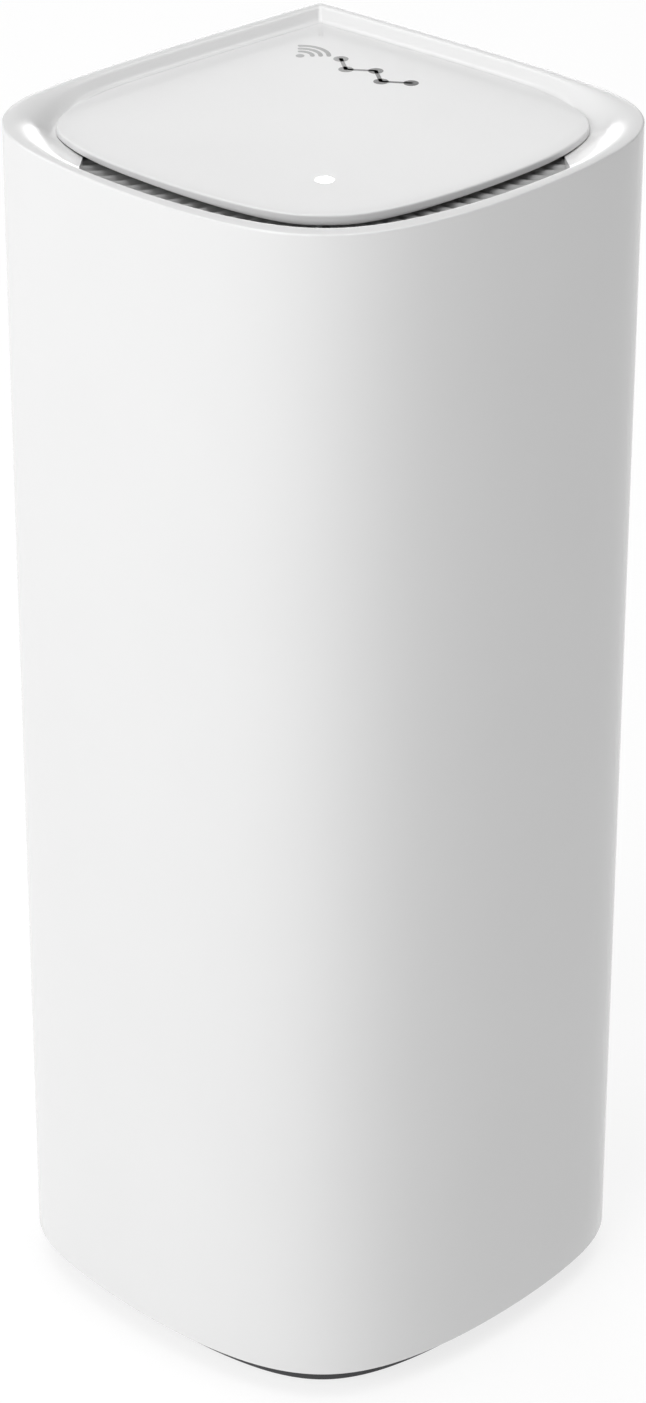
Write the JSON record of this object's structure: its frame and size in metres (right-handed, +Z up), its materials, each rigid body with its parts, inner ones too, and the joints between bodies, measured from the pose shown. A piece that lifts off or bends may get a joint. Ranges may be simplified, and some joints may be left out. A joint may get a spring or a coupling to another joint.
{
  "type": "mesh wifi node",
  "caption": "Tall white tower wifi node with a dished top, a floating lid over a ribbed vent, a status light, and a rear recess with sockets, rocker switch and pairing button.",
  "frame": {"origin": "on the floor, under the middle of the tower", "axes": "+Z up; -Y the front, from where the lid is read; +Y the rear face with the sockets; the sharp corner is at -X +Y"},
  "size_m": [0.088, 0.088, 0.222],
  "materials": {
    "white_housing": "satin white moulding",
    "white_button": "satin white",
    "charcoal_plastic": "fine matt texture",
    "grey_grille": "satin grey",
    "black_rubber": "matt rubber",
    "led_lens": "translucent white, lit",
    "black_plastic": "fine matt texture",
    "gloss_black": "polished black",
    "red_button": "satin red",
    "plated_steel": "bright plated",
    "gold_contacts": "gold plated",
    "cast_aluminium": "as extruded",
    "green_board": "solder resist",
    "thermal_pad": "soft silicone",
    "blank_label": "blank silver-grey film",
    "natural_plastic": "unpainted"
  },
  "bodies": {
    "tower": {"outer_shell": "white_housing", "top_lid": "white_housing", "vent_grille": "grey_grille", "led_light_pipe": "led_lens", "led_board": "green_board", "led_chip": "led_lens", "led_lead": "black_plastic", "top_carrier": "charcoal_plastic", "base_housing": "charcoal_plastic", "foot_ring": "black_rubber", "rating_label": "blank_label", "inner_chassis": "natural_plastic", "main_board": "green_board", "front_shield": "plated_steel", "rear_shield": "plated_steel", "processor_chip": "black_plastic", "radio_chip": "black_plastic", "front_thermal_pad": "thermal_pad", "rear_thermal_pad": "thermal_pad", "front_heatsink": "cast_aluminium", "rear_heatsink": "cast_aluminium", "io_panel": "charcoal_plastic", "dc_jack": "black_plastic", "dc_jack_pin": "plated_steel", "power_switch": "black_plastic", "pair_switch": "black_plastic", "reset_switch": "black_plastic", "wan_socket": "plated_steel", "wan_contacts": "gold_contacts", "lan_socket_1": "plated_steel", "lan_contacts_1": "gold_contacts", "lan_socket_2": "plated_steel", "lan_contacts_2": "gold_contacts", "lan_socket_3": "plated_steel", "lan_contacts_3": "gold_contacts", "antenna_1": "gold_contacts", "coax_1": "black_plastic", "base_screw_1": "plated_steel", "board_screw_1": "plated_steel", "antenna_2": "gold_contacts", "coax_2": "black_plastic", "base_screw_2": "plated_steel", "board_screw_2": "plated_steel", "antenna_3": "gold_contacts", "coax_3": "black_plastic", "base_screw_3": "plated_steel", "board_screw_3": "plated_steel", "antenna_4": "gold_contacts", "coax_4": "black_plastic", "base_screw_4": "plated_steel", "board_screw_4": "plated_steel"},
    "power_rocker": {"power_rocker": "gloss_black"},
    "pair_button": {"pair_button": "white_button"},
    "reset_button": {"reset_button": "red_button"}
  },
  "joints": [
    {"name": "rocker_tilt", "type": "hinge", "parent": "tower", "child": "power_rocker", "pos_m": [-0.0245, 0.032, 0.037], "axis": [1, 0, 0], "range_deg": [-18, 0]},
    {"name": "pair_press", "type": "slide", "parent": "tower", "child": "pair_button", "axis": [0, -1, 0], "range_m": [0, 0.0008], "stiffness_N_per_m": 800, "springref_m": -0.0005},
    {"name": "reset_press", "type": "slide", "parent": "tower", "child": "reset_button", "axis": [0, 0, 1], "range_m": [0, 0.0008], "stiffness_N_per_m": 800, "springref_m": -0.0005}
  ]
}
